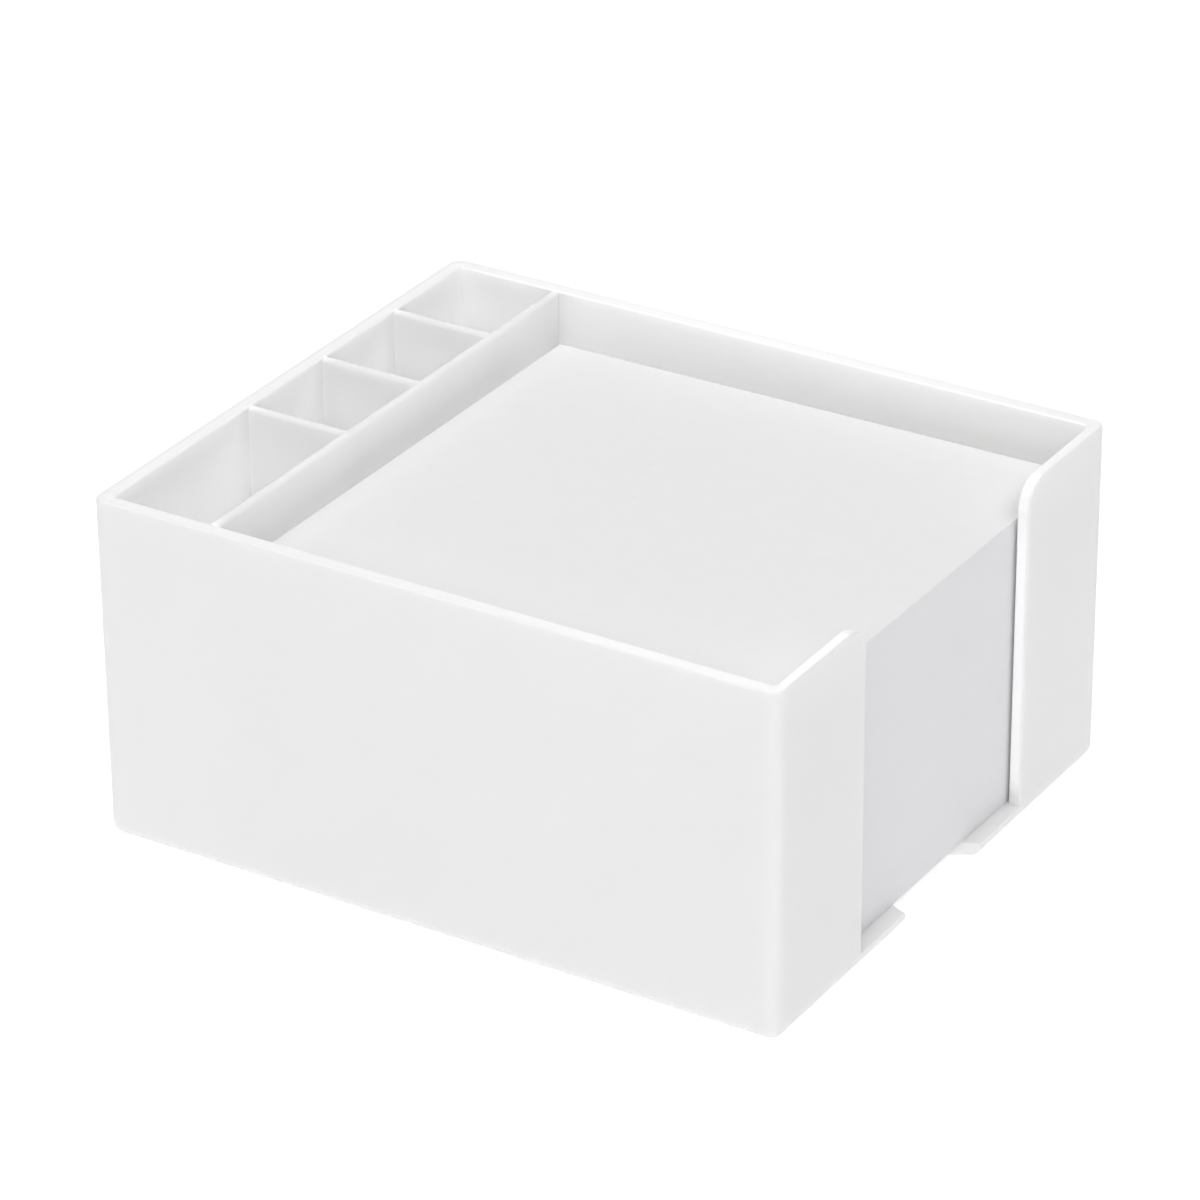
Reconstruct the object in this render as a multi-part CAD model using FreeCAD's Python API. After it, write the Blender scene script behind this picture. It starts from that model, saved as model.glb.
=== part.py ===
import FreeCAD, Part
import os, math

# Memo pad holder: a moulded open box with a square paper bin, a row of four
# small compartments along its back end, and a stack of loose note sheets.
#
# Frame: millimetres, +Z up, origin at the centre of the footprint on the
# underside. +X is the front end (the slotted wall), the compartments are at -X.

os.makedirs("parts", exist_ok=True)
V = FreeCAD.Vector

# ---------------------------------------------------------------- dimensions
LENGTH = 118.0          # overall, X
WIDTH = 100.0           # overall, Y
HEIGHT = 57.0           # overall, Z
WALL = 2.5              # wall thickness, two long walls and the back end
WALL_F = 2.1            # thickness of the slotted front end wall
FLOOR = 2.0             # floor thickness
R_CORNER = 2.2          # outer vertical corners
R_BASE = 1.5            # outer edge between walls and floor
R_INNER = 0.6           # inner vertical corners
R_RIM = 0.4             # outer edge of the rim and of the slot
R_RIM_IN = 0.4          # their inner edge

SLOT_W = 49.6           # front slot, between the two posts
SLOT_R = 4.5            # rounding of the posts' upper inner corners
NOTCH_R = 12.0          # thumb notch in the floor: arc radius
NOTCH_OUT = 3.4         # its centre, in front of the front face
R_NOTCH = 0.3           # softened edges of the notch

DIV_T = 1.5             # divider thickness, tops fully rounded
DIV_TOP = HEIGHT        # the dividers' tops are flush with the rim
R_END = 0.35            # softened ends where the long divider meets the side walls
BIN_L = 94.7            # paper bin, X (its width, Y, is 95)
CROSS_Y = (-11.75, 8.45, 28.65)   # centre lines of the three short dividers

SHEET_L = 91.0          # note sheet, X
SHEET_W = 87.0          # note sheet, Y
SHEET_T = 0.1           # one sheet
STACK_TOP = 50.6        # top of the paper
GAP_FRONT = 0.6         # paper to the front posts
STACK_Y1 = 43.0         # far edge of the stack
LAY = 0.02              # air between pieces that only lie on each other

x0, x1 = -LENGTH / 2, LENGTH / 2
y0, y1 = -WIDTH / 2, WIDTH / 2


def box(ax, ay, az, bx, by, bz):
    return Part.makeBox(bx - ax, by - ay, bz - az, V(ax, ay, az))


def edges_where(shape, test):
    return [e for e in shape.Edges if test(e)]


def is_vertical(e):
    if len(e.Vertexes) != 2:
        return False
    a, b = e.Vertexes[0].Point, e.Vertexes[1].Point
    return abs(a.x - b.x) < 1e-6 and abs(a.y - b.y) < 1e-6 and abs(a.z - b.z) > 1


def near(a, b, tol=0.01):
    return abs(a - b) < tol


def at_z(e, z):
    bb = e.BoundBox
    return abs(bb.ZMin - z) < 1e-6 and abs(bb.ZMax - z) < 1e-6


# ---------------------------------------------------------------- holder_shell
outer = box(x0, y0, 0, x1, y1, HEIGHT)
outer = outer.makeFillet(R_CORNER, edges_where(outer, is_vertical))
outer = outer.makeFillet(R_BASE, edges_where(outer, lambda e: at_z(e, 0)))

inner = box(x0 + WALL, y0 + WALL, FLOOR, x1 - WALL_F, y1 - WALL, HEIGHT + 10)
inner = inner.makeFillet(R_INNER, edges_where(inner, is_vertical))

# Slot in the front end wall, from the floor's top face up through the rim. The
# upper inner corners of both posts are rounded.
s = SLOT_W / 2
c45 = SLOT_R * (1 - math.cos(math.radians(45)))


def slot_profile(x):
    zr = HEIGHT - SLOT_R
    a, b = V(x, -s, FLOOR), V(x, s, FLOOR)
    c, d = V(x, s, zr), V(x, s + SLOT_R, HEIGHT)
    cm = V(x, s + c45, HEIGHT - c45)
    e, f = V(x, s + SLOT_R, HEIGHT + 5), V(x, -s - SLOT_R, HEIGHT + 5)
    g, h = V(x, -s - SLOT_R, HEIGHT), V(x, -s, zr)
    gm = V(x, -s - c45, HEIGHT - c45)
    return Part.Face(Part.Wire([
        Part.LineSegment(a, b).toShape(), Part.LineSegment(b, c).toShape(),
        Part.Arc(c, cm, d).toShape(), Part.LineSegment(d, e).toShape(),
        Part.LineSegment(e, f).toShape(), Part.LineSegment(f, g).toShape(),
        Part.Arc(g, gm, h).toShape(), Part.LineSegment(h, a).toShape(),
    ]))


slot = slot_profile(x1 - WALL_F - 1).extrude(V(WALL_F + 3, 0, 0))

# Thumb notch: an arc cut into the floor's front edge.
notch = Part.makeCylinder(NOTCH_R, 10, V(x1 + NOTCH_OUT, 0, -4), V(0, 0, 1))
hollow = inner.fuse(slot).fuse(notch).removeSplitter()
shell = outer.cut(hollow)


def outer_rim(e):
    """Outer edges of the rim."""
    bb = e.BoundBox
    on_x = near(bb.XMin, x0) or near(bb.XMax, x1)
    on_y = near(bb.YMin, y0) or near(bb.YMax, y1)
    return at_z(e, HEIGHT) and (on_x or on_y)


def inner_rim(e):
    """Inner edges of the rim, with their small corner arcs."""
    bb = e.BoundBox
    xi0, xi1, yi = x0 + WALL, x1 - WALL_F, y1 - WALL
    inside = bb.XMin > xi0 - 0.01 and bb.XMax < xi1 + 0.01 and abs(bb.YMin) < yi + 0.01 and abs(bb.YMax) < yi + 0.01
    return at_z(e, HEIGHT) and inside


def slot_back(e):
    """Edges of the slot on the front wall's inner face."""
    bb = e.BoundBox
    return (near(bb.XMin, x1 - WALL_F, 1e-4) and near(bb.XMax, x1 - WALL_F, 1e-4)
            and bb.ZMin > FLOOR - 0.01 and bb.ZMax - bb.ZMin > 0.5
            and abs(bb.YMin) < s + SLOT_R + 0.1 and abs(bb.YMax) < s + SLOT_R + 0.1)


def slot_front(e):
    """Edges of the slot on the front face, with the arcs at the posts' tops."""
    bb = e.BoundBox
    return (near(bb.XMin, x1, 1e-4) and near(bb.XMax, x1, 1e-4)
            and bb.ZMin > FLOOR - 0.01 and bb.ZMax - bb.ZMin > 0.5
            and abs(bb.YMin) < s + SLOT_R + 0.1 and abs(bb.YMax) < s + SLOT_R + 0.1)


def notch_rim(e):
    """The notch's edges, on top of the floor, under it and at its two ends."""
    bb = e.BoundBox
    return (bb.ZMax < FLOOR + 0.05 and bb.XMin > 40
            and bb.YMin > -NOTCH_R and bb.YMax < NOTCH_R
            and bb.YMax - bb.YMin > 0.3)


shell = shell.makeFillet(R_RIM, edges_where(shell, lambda e: outer_rim(e) or slot_front(e)))
shell = shell.makeFillet(R_RIM_IN, edges_where(shell, lambda e: inner_rim(e) or slot_back(e)))
shell = shell.makeFillet(R_NOTCH, edges_where(shell, notch_rim))

# ---------------------------------------------------------------- divider_insert
# One comb: a long divider between bin and compartments, and three short ones
# to the back end wall. Every top is a full round.
xd1 = x1 - WALL_F - BIN_L        # bin side of the long divider
xd0 = xd1 - DIV_T
r = DIV_T / 2


def plate(length):
    """Upright plate along +Y from y = 0, full-round top, centred on x = 0."""
    a, b = V(-r, 0, FLOOR), V(r, 0, FLOOR)
    c, m, d = V(r, 0, DIV_TOP - r), V(0, 0, DIV_TOP), V(-r, 0, DIV_TOP - r)
    return Part.Face(Part.Wire([
        Part.LineSegment(a, b).toShape(), Part.LineSegment(b, c).toShape(),
        Part.Arc(c, m, d).toShape(), Part.LineSegment(d, a).toShape(),
    ])).extrude(V(0, length, 0))


# the upright and top edges of the long divider's two ends are softened
long_divider = plate(WIDTH - 2 * WALL)
long_divider = long_divider.makeFillet(R_END, edges_where(
    long_divider, lambda e: e.BoundBox.YLength < 1e-6 and e.BoundBox.ZMax > FLOOR + 1))
long_divider.translate(V((xd0 + xd1) / 2, y0 + WALL, 0))
comb = long_divider
for cy in CROSS_Y:
    # the inner end of a short divider is buried in the long one
    short = plate(xd0 + r + 1 - (x0 + WALL))
    short = short.common(box(-5, 0, 0, 5, xd0 + r - (x0 + WALL), HEIGHT))
    short.rotate(V(0, 0, 0), V(0, 0, 1), -90)
    short.translate(V(x0 + WALL, cy, 0))
    comb = comb.fuse(short)
comb = comb.removeSplitter()

# ---------------------------------------------------------------- paper
px1 = x1 - WALL_F - GAP_FRONT
px0 = px1 - SHEET_L
py1 = STACK_Y1
py0 = py1 - SHEET_W
stack = box(px0, py0, FLOOR + LAY, px1, py1, STACK_TOP - SHEET_T - LAY)
sheet = box(px0, py0, STACK_TOP - SHEET_T, px1, py1, STACK_TOP)

# ---------------------------------------------------------------- export
nodes = {
    "holder_shell": shell,
    "divider_insert": comb,
    "note_stack": stack,
    "top_sheet": sheet,
}
for name, shape in nodes.items():
    shape = shape if shape.ShapeType == "Solid" else (shape.Solids[0] if len(shape.Solids) == 1 else shape)
    bb = shape.BoundBox
    print("%-16s valid=%s solids=%d vol=%.1f  x %.2f..%.2f  y %.2f..%.2f  z %.2f..%.2f" % (
        name, shape.isValid(), len(shape.Solids), shape.Volume,
        bb.XMin, bb.XMax, bb.YMin, bb.YMax, bb.ZMin, bb.ZMax))
    shape.exportStep("parts/%s.step" % name)
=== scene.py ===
import bpy, math
import numpy as np
from mathutils import Matrix, Vector


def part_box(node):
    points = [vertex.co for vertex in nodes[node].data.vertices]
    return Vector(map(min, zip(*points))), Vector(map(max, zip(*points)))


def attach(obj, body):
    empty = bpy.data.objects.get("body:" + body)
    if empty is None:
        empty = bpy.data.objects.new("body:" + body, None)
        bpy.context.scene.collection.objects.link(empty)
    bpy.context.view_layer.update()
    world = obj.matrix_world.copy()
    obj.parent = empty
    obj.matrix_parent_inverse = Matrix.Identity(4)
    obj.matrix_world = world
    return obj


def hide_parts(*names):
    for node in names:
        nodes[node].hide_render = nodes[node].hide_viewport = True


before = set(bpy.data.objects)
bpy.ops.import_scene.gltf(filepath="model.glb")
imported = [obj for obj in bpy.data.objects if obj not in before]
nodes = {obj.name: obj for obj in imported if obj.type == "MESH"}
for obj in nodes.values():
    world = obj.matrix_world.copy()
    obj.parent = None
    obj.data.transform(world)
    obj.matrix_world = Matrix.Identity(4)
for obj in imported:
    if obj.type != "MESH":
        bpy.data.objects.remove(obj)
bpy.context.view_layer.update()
scene = bpy.context.scene
MM = 0.001
rng = np.random.default_rng(20417)

# ------------------------------------------------------------------ camera
AZ, EL, ROLL = 0.5555, 0.48868, -0.00837
DIST = 0.86048
TARGET = Vector((-0.005446, 0.007036, 0.0285))
F_PX = 5586.1


def add_camera():
    back = Vector((math.sin(AZ) * math.cos(EL), -math.cos(AZ) * math.cos(EL), math.sin(EL)))
    right = Vector((0, 0, 1)).cross(back).normalized()
    up = back.cross(right)
    c, s = math.cos(ROLL), math.sin(ROLL)
    r = right * c + up * s
    u = right * -s + up * c
    data = bpy.data.cameras.new("camera")
    cam = bpy.data.objects.new("camera", data)
    scene.collection.objects.link(cam)
    data.sensor_fit = "HORIZONTAL"
    data.sensor_width = 36.0
    data.lens = F_PX / 1200 * 36.0
    data.clip_start, data.clip_end = 0.02, 20.0
    m = Matrix((r, u, back)).transposed().to_4x4()
    m.translation = TARGET + back * DIST
    cam.matrix_world = m
    scene.camera = cam


add_camera()

# ------------------------------------------------------------------ materials
def new_mat(name):
    m = bpy.data.materials.new(name)
    m.use_nodes = True
    nt = m.node_tree
    for n in list(nt.nodes):
        nt.nodes.remove(n)
    out = nt.nodes.new("ShaderNodeOutputMaterial")
    bsdf = nt.nodes.new("ShaderNodeBsdfPrincipled")
    nt.links.new(bsdf.outputs[0], out.inputs[0])
    return m, nt, bsdf


def noise(nt, vec, scale, detail=2.0, rough=0.5):
    n = nt.nodes.new("ShaderNodeTexNoise")
    n.inputs["Scale"].default_value = scale
    n.inputs["Detail"].default_value = detail
    n.inputs["Roughness"].default_value = rough
    nt.links.new(vec, n.inputs["Vector"])
    return n.outputs["Fac"]


def ramp(nt, src, lo, hi, a, b):
    """Maps src from lo..hi to a..b."""
    n = nt.nodes.new("ShaderNodeMapRange")
    n.inputs["From Min"].default_value = lo
    n.inputs["From Max"].default_value = hi
    n.inputs["To Min"].default_value = a
    n.inputs["To Max"].default_value = b
    nt.links.new(src, n.inputs["Value"])
    return n.outputs["Result"]


def mix(nt, fac, a, b):
    n = nt.nodes.new("ShaderNodeMix")
    n.data_type = "RGBA"
    for i, v in ((6, a), (7, b)):
        if isinstance(v, tuple):
            n.inputs[i].default_value = v
        else:
            nt.links.new(v, n.inputs[i])
    nt.links.new(fac, n.inputs[0])
    return n.outputs[2]


def math_node(nt, op, a, b=None):
    n = nt.nodes.new("ShaderNodeMath")
    n.operation = op
    for i, v in ((0, a), (1, b)):
        if v is None:
            continue
        if isinstance(v, float):
            n.inputs[i].default_value = v
        else:
            nt.links.new(v, n.inputs[i])
    return n.outputs[0]


INNER_ALBEDO = 0.93
OUTER_ALBEDO = 0.775    # painted shade: the outside is given a darker colour than the inside to match how it is lit
# painted highlight: the free edges of the box and the dividers get these lighter colours in place of light shining
# through the plastic
SHELL_PAINTED_GLOW = 0.985
DIVIDER_PAINTED_GLOW = 0.95
EDGE_HI = 0.30
EDGE_OUTER = 0.0
R_CORNER = 0.0022       # the box's outer vertical corners
SHORT_Y = (-11.75, 8.45, 28.65)      # middles of the three short dividers, mm
SSS = 0.5
SSS_MM = 2.5
INNER_SSS = 1.0
INNER_SSS_MM = 6.0
DIVIDER_SSS_MM = 6.0
ROUGH = 0.36
INNER_ROUGH = 0.50
EDGE_ROUGH = 0.20
PAPER = 0.785
PAPER_SIDE = (0.770, 0.770, 0.786, 1)
# painted light: the pad's sides out of sight are made lighter than its side in the slot, to lift the shade in the
# gaps round it
PAPER_HIDDEN_LIT = (0.90, 0.90, 0.90, 1)
# flecks in the top sheet: where (mm), how far across, what colour
SPECKS = [
    ((0.0, 13.35), 0.26, (0.68, 0.68, 0.665, 1)),
    ((3.7, 2.6), 0.36, (0.745, 0.745, 0.70, 1)),
    ((-21.0, -8.0), 0.22, (0.735, 0.735, 0.725, 1)),
    ((31.0, 24.0), 0.20, (0.735, 0.735, 0.725, 1)),
]


def painted_glow_mask(nt, reach):
    """Mask for a painted highlight: 0 in the middle of a wall, rising to 1 at its free edges, where the colour is
    lightened to stand in for light coming through the plastic from the other side."""
    ao = nt.nodes.new("ShaderNodeAmbientOcclusion")
    ao.inside = True
    ao.only_local = True
    ao.samples = 16
    ao.inputs["Distance"].default_value = reach
    return ramp(nt, ao.outputs["AO"], 1.0, 1.0 - EDGE_HI, 0.0, 1.0)


def plastic(name, reach, painted_glow_albedo, bin_albedo, low_albedo, soak_mm, shade_fade):
    m, nt, b = new_mat(name)
    tc = nt.nodes.new("ShaderNodeTexCoord").outputs["Object"]
    broad = noise(nt, tc, 38.0, 3.0)
    fine = noise(nt, tc, 2600.0, 2.0)

    # depth below the outer faces of the box, in metres
    sep = nt.nodes.new("ShaderNodeSeparateXYZ")
    nt.links.new(tc, sep.inputs[0])
    dx = math_node(nt, "SUBTRACT", math_node(nt, "ABSOLUTE", sep.outputs["X"]), 0.059)
    dy = math_node(nt, "SUBTRACT", math_node(nt, "ABSOLUTE", sep.outputs["Y"]), 0.050)
    depth = math_node(nt, "MAXIMUM", dx, dy)
    # round the vertical corners it is measured from the corner's own radius
    cx = math_node(nt, "MAXIMUM", math_node(nt, "ADD", dx, R_CORNER), 0.0)
    cy = math_node(nt, "MAXIMUM", math_node(nt, "ADD", dy, R_CORNER), 0.0)
    turn = math_node(nt, "SQRT", math_node(nt, "ADD", math_node(nt, "MULTIPLY", cx, cx), math_node(nt, "MULTIPLY", cy, cy)), 0.0)
    flat = math_node(nt, "MINIMUM", math_node(nt, "ADD", depth, R_CORNER), 0.0)
    depth = math_node(nt, "SUBTRACT", math_node(nt, "ADD", flat, turn), R_CORNER)
    # painted shade: the outer faces, and the floor's front lip below, take the darker outside colour
    outside = ramp(nt, depth, -0.0016, -0.0004, 0.0, 1.0)
    lip = math_node(nt, "MULTIPLY", ramp(nt, sep.outputs["Z"], 0.0022, 0.0030, 1.0, 0.0), ramp(nt, depth, -0.006, -0.004, 0.0, 1.0))
    outside = math_node(nt, "MAXIMUM", outside, lip)

    # the painted highlight covers the thickness of a wall: from its inner face to just short of its outer one
    dxi = math_node(nt, "SUBTRACT", math_node(nt, "ABSOLUTE", math_node(nt, "SUBTRACT", sep.outputs["X"], 0.0002)), 0.0592)
    into = ramp(nt, math_node(nt, "MAXIMUM", dxi, dy), -0.00249, -0.00240, 0.0, 1.0)
    outto = ramp(nt, depth, -0.0005, -0.0002, 1.0, EDGE_OUTER)
    glow_edge = math_node(nt, "MULTIPLY", painted_glow_mask(nt, reach), math_node(nt, "MULTIPLY", into, outto))
    glow_edge = math_node(nt, "MULTIPLY", glow_edge, ramp(nt, sep.outputs["Z"], 0.0035, 0.006, 0.0, 1.0))
    i, o, e = INNER_ALBEDO, OUTER_ALBEDO, painted_glow_albedo
    # painted light: round the pad the inside is lighter, most of all low down in the gaps where shade falls
    v, w = bin_albedo, low_albedo
    in_bin = ramp(nt, sep.outputs["X"], -0.0385, -0.0380, 0.0, 1.0)
    low = math_node(nt, "MULTIPLY", in_bin, ramp(nt, sep.outputs["Z"], 0.046, 0.0555, 1.0, 0.0))
    inner = mix(nt, low, mix(nt, in_bin, (i, i, i, 1), (v, v, v, 1)), (w, w, w, 1))
    if shade_fade:
        # painted shade: its colour darkens a little towards the slot
        shade_fall = ramp(nt, sep.outputs["X"], -0.030, 0.055, shade_fade[0] - 1.0, shade_fade[1] - 1.0)
        shade_scale = nt.nodes.new("ShaderNodeVectorMath")
        shade_scale.operation = "SCALE"
        nt.links.new(inner, shade_scale.inputs[0])
        nt.links.new(math_node(nt, "ADD", math_node(nt, "MULTIPLY", in_bin, shade_fall), 1.0), shade_scale.inputs["Scale"])
        inner = shade_scale.outputs[0]
    body = mix(nt, outside, inner, (o, o, o, 1))
    mottle = mix(nt, ramp(nt, broad, 0.35, 0.65, 0.0, 1.0), (0.997, 0.997, 0.996, 1), (1, 1, 1, 1))
    tint = nt.nodes.new("ShaderNodeMix")
    tint.data_type = "RGBA"
    tint.blend_type = "MULTIPLY"
    tint.inputs[0].default_value = 1.0
    nt.links.new(body, tint.inputs[6])
    nt.links.new(mottle, tint.inputs[7])
    # painted highlight: the edge mask mixes in the lighter glow colour
    nt.links.new(mix(nt, glow_edge, tint.outputs[2], (e, e, e, 1)), b.inputs["Base Color"])

    faces = ramp(nt, outside, 0.0, 1.0, INNER_ROUGH, ROUGH)
    worn = math_node(nt, "ADD", faces, ramp(nt, broad, 0.3, 0.7, -0.02, 0.02))
    rough = math_node(nt, "SUBTRACT", worn, math_node(nt, "MULTIPLY", glow_edge, math_node(nt, "SUBTRACT", faces, EDGE_ROUGH)))
    nt.links.new(rough, b.inputs["Roughness"])
    bump = nt.nodes.new("ShaderNodeBump")
    bump.inputs["Strength"].default_value = 0.1
    bump.inputs["Distance"].default_value = 0.00002
    nt.links.new(fine, bump.inputs["Height"])
    nt.links.new(bump.outputs["Normal"], b.inputs["Normal"])
    b.inputs["IOR"].default_value = 1.5
    b.inputs["Specular IOR Level"].default_value = 0.5
    # more light soaks through into the box than shows on its outside, but none
    # where a divider's end butts against a wall
    ry = None
    for cy in SHORT_Y:
        away = math_node(nt, "ABSOLUTE", math_node(nt, "SUBTRACT", sep.outputs["Y"], cy * MM))
        ry = away if ry is None else math_node(nt, "MINIMUM", ry, away)
    rx = math_node(nt, "ABSOLUTE", math_node(nt, "ADD", sep.outputs["X"], 0.0565))
    at_short = math_node(nt, "MAXIMUM", math_node(nt, "SUBTRACT", ry, 0.00075), rx)
    rx = math_node(nt, "ABSOLUTE", math_node(nt, "ADD", sep.outputs["X"], 0.03855))
    ry = math_node(nt, "ABSOLUTE", math_node(nt, "SUBTRACT", math_node(nt, "ABSOLUTE", sep.outputs["Y"]), 0.0475))
    at_long = math_node(nt, "MAXIMUM", math_node(nt, "SUBTRACT", rx, 0.00075), ry)
    clear = ramp(nt, math_node(nt, "MINIMUM", at_short, at_long), 0.0004, 0.0030, 0.0, 1.0)
    soak = math_node(nt, "MULTIPLY", clear, ramp(nt, outside, 0.0, 1.0, INNER_SSS, SSS))
    nt.links.new(math_node(nt, "MULTIPLY", soak, ramp(nt, glow_edge, 0.0, 1.0, 1.0, 0.0)), b.inputs["Subsurface Weight"])
    b.inputs["Subsurface Radius"].default_value = (1.0, 1.0, 0.97)
    nt.links.new(ramp(nt, outside, 0.0, 1.0, soak_mm * MM, SSS_MM * MM), b.inputs["Subsurface Scale"])
    return m


lo_s, hi_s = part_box("note_stack")
lo_t, hi_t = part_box("top_sheet")


def paper():
    m, nt, b = new_mat("note_paper")
    tc = nt.nodes.new("ShaderNodeTexCoord").outputs["Object"]
    fib = noise(nt, tc, 1500.0, 3.0, 0.6)
    clump = noise(nt, tc, 320.0, 4.0, 0.65)
    v = PAPER
    top = mix(nt, ramp(nt, clump, 0.3, 0.7, 0.0, 1.0), (v - 0.006, v - 0.006, v - 0.006, 1), (v + 0.006, v + 0.006, v + 0.005, 1))
    for (sx, sy), r, c in SPECKS:
        away = nt.nodes.new("ShaderNodeVectorMath")
        away.operation = "DISTANCE"
        nt.links.new(tc, away.inputs[0])
        away.inputs[1].default_value = (sx * MM, sy * MM, hi_t.z)
        top = mix(nt, ramp(nt, away.outputs["Value"], r * 0.5 * MM, r * MM, 1.0, 0.0), top, c)
    geo = nt.nodes.new("ShaderNodeNewGeometry")
    sep = nt.nodes.new("ShaderNodeSeparateXYZ")
    nt.links.new(geo.outputs["True Normal"], sep.inputs[0])
    side = ramp(nt, math_node(nt, "ABSOLUTE", sep.outputs["Z"]), 0.3, 0.7, 1.0, 0.0)
    shown = ramp(nt, sep.outputs["X"], 0.5, 0.9, 0.0, 1.0)       # the side in the slot
    # painted light: the sides out of sight get a lighter colour than the side in the slot
    nt.links.new(mix(nt, side, top, mix(nt, shown, PAPER_HIDDEN_LIT, PAPER_SIDE)), b.inputs["Base Color"])
    b.inputs["Roughness"].default_value = 0.9
    bump = nt.nodes.new("ShaderNodeBump")
    bump.inputs["Strength"].default_value = 0.15
    bump.inputs["Distance"].default_value = 0.00002
    nt.links.new(fib, bump.inputs["Height"])
    nt.links.new(bump.outputs["Normal"], b.inputs["Normal"])
    b.inputs["Specular IOR Level"].default_value = 0.2
    return m


note = paper()
for n, e, v, w, mm, shade_fade in (("holder_shell", SHELL_PAINTED_GLOW, 0.845, 0.90, INNER_SSS_MM, (1.03, 0.94)), ("divider_insert", DIVIDER_PAINTED_GLOW, 0.985, 0.99, DIVIDER_SSS_MM, None)):
    o = nodes[n]
    o.data.materials.clear()
    o.data.materials.append(plastic(n + "_plastic", 0.0020, e, v, w, mm, shade_fade))

# ------------------------------------------------------------------ paper
def mesh_object(name, verts, faces, mat):
    me = bpy.data.meshes.new(name)
    me.from_pydata([tuple(v) for v in verts], [], faces)
    me.update()
    me.materials.append(mat)
    ob = bpy.data.objects.new(name, me)
    scene.collection.objects.link(ob)
    return ob


SHEET_T = 0.1 * MM
SKEW = math.radians(0.75)
LEAN = math.radians(0.3)


def outline(dx, dy, rot, lo, hi):
    """Four corners of a sheet; the pad is trimmed and sits a little out of square."""
    w, h = hi.x - lo.x, hi.y - lo.y
    cx, cy = (lo.x + hi.x) / 2, (lo.y + hi.y) / 2
    k = math.tan(SKEW) * w / 2
    j = math.tan(LEAN) * h / 2
    pts = [(lo.x - j, lo.y), (hi.x - j, lo.y), (hi.x + j, hi.y + k), (lo.x + j, hi.y - k)]
    c, s = math.cos(rot), math.sin(rot)
    return [(cx + (x - cx) * c - (y - cy) * s + dx, cy + (x - cx) * s + (y - cy) * c + dy) for x, y in pts]


def make_stack():
    n = int(round((hi_s.z - lo_s.z) / SHEET_T))
    pitch = (hi_s.z - lo_s.z) / n
    verts, faces = [], []
    ax = ay = ar = 0.0
    for i in range(n):
        ax = 0.93 * ax + rng.normal(0, 0.004)
        ay = 0.93 * ay + rng.normal(0, 0.004)
        ar = 0.93 * ar + rng.normal(0, 0.0015)
        dx = (ax + rng.normal(0, 0.003)) * MM
        dy = (ay + rng.normal(0, 0.003)) * MM
        q = outline(dx, dy, math.radians(ar), lo_s, hi_s)
        z0 = lo_s.z + i * pitch
        z1 = z0 + pitch * 0.97
        b = len(verts)
        verts += [(x, y, z0) for x, y in q] + [(x, y, z1) for x, y in q]
        faces += [(b + 3, b + 2, b + 1, b), (b + 4, b + 5, b + 6, b + 7)]
        faces += [(b + j, b + (j + 1) % 4, b + 4 + (j + 1) % 4, b + 4 + j) for j in range(4)]
    return mesh_object("note_sheets", verts, faces, note)


stack = make_stack()
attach(stack, "paper")
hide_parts("note_stack")

q = outline(0, 0, 0, lo_t, hi_t)
sheet = mesh_object("top_note_sheet",
                    [(x, y, lo_t.z) for x, y in q] + [(x, y, hi_t.z) for x, y in q],
                    [(3, 2, 1, 0), (4, 5, 6, 7)] + [(j, (j + 1) % 4, 4 + (j + 1) % 4, 4 + j) for j in range(4)], note)
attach(sheet, "sheet")
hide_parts("top_sheet")

# ------------------------------------------------------------------ stage
FLOOR_ALBEDO = 0.95
FLOOR_GLOW = 0.07
NEAR_GLOW = 0.16


def add_floor():
    """A pale table top that fades into a white surround well away from the object."""
    m, nt, b = new_mat("floor")
    a = FLOOR_ALBEDO
    b.inputs["Base Color"].default_value = (a, a, a, 1)
    b.inputs["Roughness"].default_value = 1.0
    b.inputs["Specular IOR Level"].default_value = 0.0
    b.inputs["Emission Color"].default_value = (1, 1, 1, 1)
    sep = nt.nodes.new("ShaderNodeSeparateXYZ")
    tc = nt.nodes.new("ShaderNodeTexCoord").outputs["Object"]
    nt.links.new(tc, sep.inputs[0])
    dx = math_node(nt, "SUBTRACT", math_node(nt, "ABSOLUTE", sep.outputs["X"]), 0.059)
    dy = math_node(nt, "SUBTRACT", math_node(nt, "ABSOLUTE", sep.outputs["Y"]), 0.050)
    d = math_node(nt, "MAXIMUM", dx, dy)          # distance from the object's footprint
    # painted light: the floor glows brighter next to the object, filling its contact shadow and lighting the bottoms
    # of its walls
    near = ramp(nt, d, 0.0, 0.10, NEAR_GLOW, 0.0)
    far = ramp(nt, d, 0.8, 2.4, FLOOR_GLOW, 0.9)
    nt.links.new(math_node(nt, "ADD", near, far), b.inputs["Emission Strength"])
    s = 20.0
    ob = mesh_object("floor", [(-s, -s, -0.0002), (s, -s, -0.0002), (s, s, -0.0002), (-s, s, -0.0002)], [(0, 1, 2, 3)], m)


add_floor()


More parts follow.
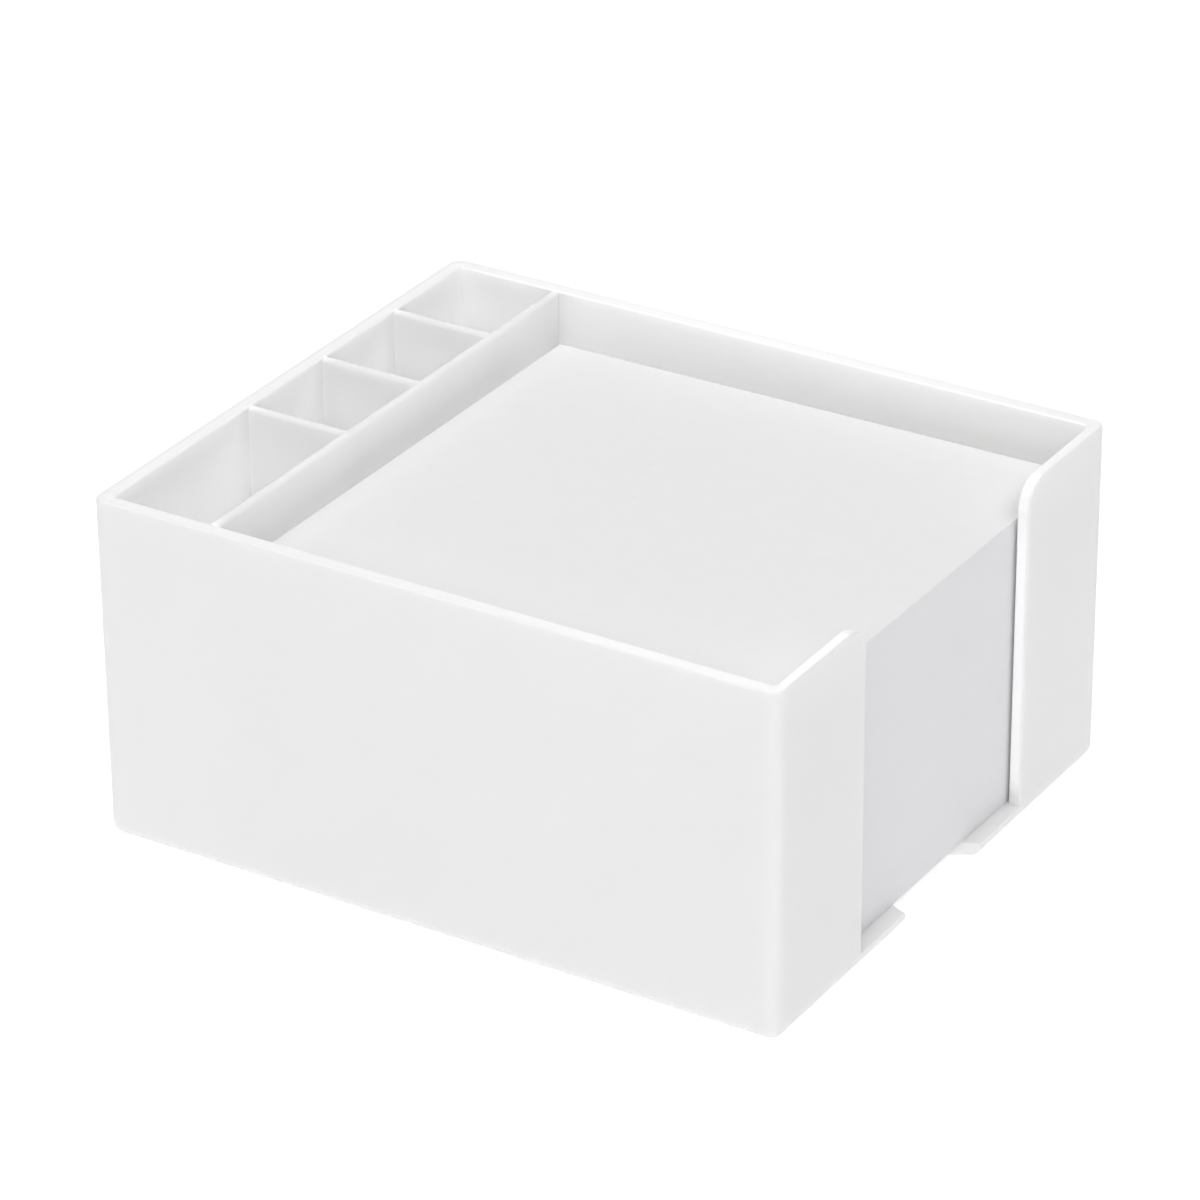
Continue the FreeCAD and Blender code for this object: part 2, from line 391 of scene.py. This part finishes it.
def area(name, loc, target, size, power):
    d = bpy.data.lights.new(name, "AREA")
    d.shape = "RECTANGLE"
    d.size, d.size_y = size
    d.energy = power
    o = bpy.data.objects.new(name, d)
    scene.collection.objects.link(o)
    o.location = loc
    o.rotation_mode = "QUATERNION"
    o.rotation_quaternion = (Vector(target) - Vector(loc)).to_track_quat("-Z", "Y")
    return o


def at(az, el, dist):
    """A point seen from the object at azimuth az (0 is -Y, 90 is +X) and elevation el."""
    az, el = math.radians(az), math.radians(el)
    return (dist * math.cos(el) * math.sin(az), -dist * math.cos(el) * math.cos(az), dist * math.sin(el))


LIGHTS = [
    ("key_softbox", at(60, 50, 3.0), (0, 0, 0.03), (2.8, 1.2), 6.0),
    ("right_softbox", at(95, 55, 3.0), (0, 0, 0.03), (2.8, 1.2), 24.0),
    ("front_softbox", at(20, 35, 3.0), (0, 0, 0.03), (2.8, 1.2), 33.5),
    ("front_high_softbox", at(10, 60, 3.0), (0, 0, 0.03), (2.8, 1.2), 15.0),
    ("left_low_softbox", at(270, 25, 3.0), (0, 0, 0.03), (2.8, 1.2), 9.5),
    ("left_high_softbox", at(270, 60, 3.0), (0, 0, 0.03), (2.8, 1.2), 26.0),
    ("back_softbox", at(180, 60, 3.0), (0, 0, 0.03), (2.8, 1.2), 22.0),
    ("rim_strip", at(209.5, 27, 3.0), (0, 0, 0.03), (0.3, 2.0), 1.85),
]
HORIZON = 1.10          # brightness of the surround at eye level
SKY = 0.012             # and overhead


def add_world():
    """A white surround that is bright only near the horizon."""
    world = bpy.data.worlds.new("world")
    scene.world = world
    world.use_nodes = True
    nt = world.node_tree
    bg = nt.nodes["Background"]
    bg.inputs["Color"].default_value = (1, 1, 1, 1)
    sep = nt.nodes.new("ShaderNodeSeparateXYZ")
    nt.links.new(nt.nodes.new("ShaderNodeTexCoord").outputs["Generated"], sep.inputs[0])
    nt.links.new(ramp(nt, sep.outputs["Z"], 0.06, 0.18, HORIZON, SKY), bg.inputs["Strength"])


add_world()
for args in LIGHTS:
    area(*args)

scene.cycles.max_bounces = 20
scene.cycles.diffuse_bounces = 14
scene.view_settings.view_transform = "Standard"
scene.view_settings.look = "None"
scene.view_settings.exposure = 0.0
scene.view_settings.gamma = 1.0
